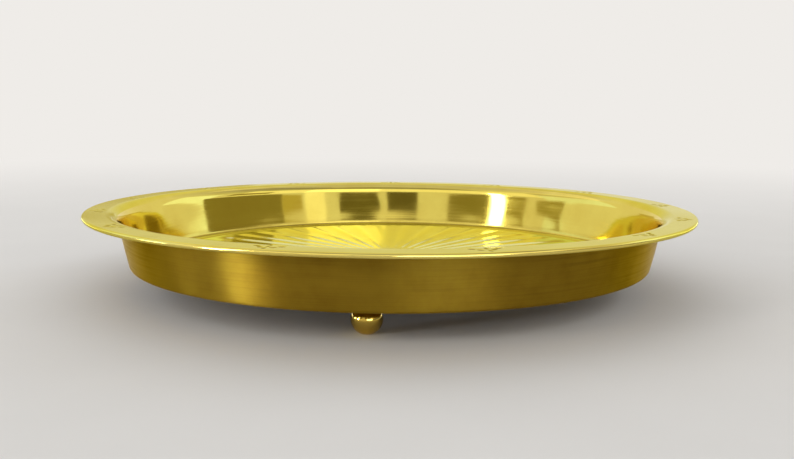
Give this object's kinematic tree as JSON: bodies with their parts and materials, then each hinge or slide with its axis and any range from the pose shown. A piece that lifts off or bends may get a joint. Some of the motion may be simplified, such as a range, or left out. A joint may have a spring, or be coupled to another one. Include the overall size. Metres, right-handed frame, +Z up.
{
  "type": "round serving tray",
  "caption": "Round brass serving tray with a flat flanged rim rolled over a wire, a fluted sunburst floor and small ball feet riveted underneath.",
  "frame": {"origin": "centre of the tray on the table, under its axis", "axes": "+Z up along the tray's axis, -Y towards the viewer and the front foot, +X to the right"},
  "size_m": [0.3, 0.3, 0.04],
  "materials": {
    "brass_sheet": "polished inside and on the flange, satin outside",
    "brass_wire": "drawn",
    "brass_turned": "polished",
    "brass_rivet": "ground flush and polished"
  },
  "bodies": {
    "root": {"tray_body": "brass_sheet", "rim_wire": "brass_wire", "foot_front": "brass_turned", "foot_rear_right": "brass_turned", "foot_rear_left": "brass_turned", "rivet_front": "brass_rivet", "rivet_rear_right": "brass_rivet", "rivet_rear_left": "brass_rivet"}
  },
  "joints": []
}
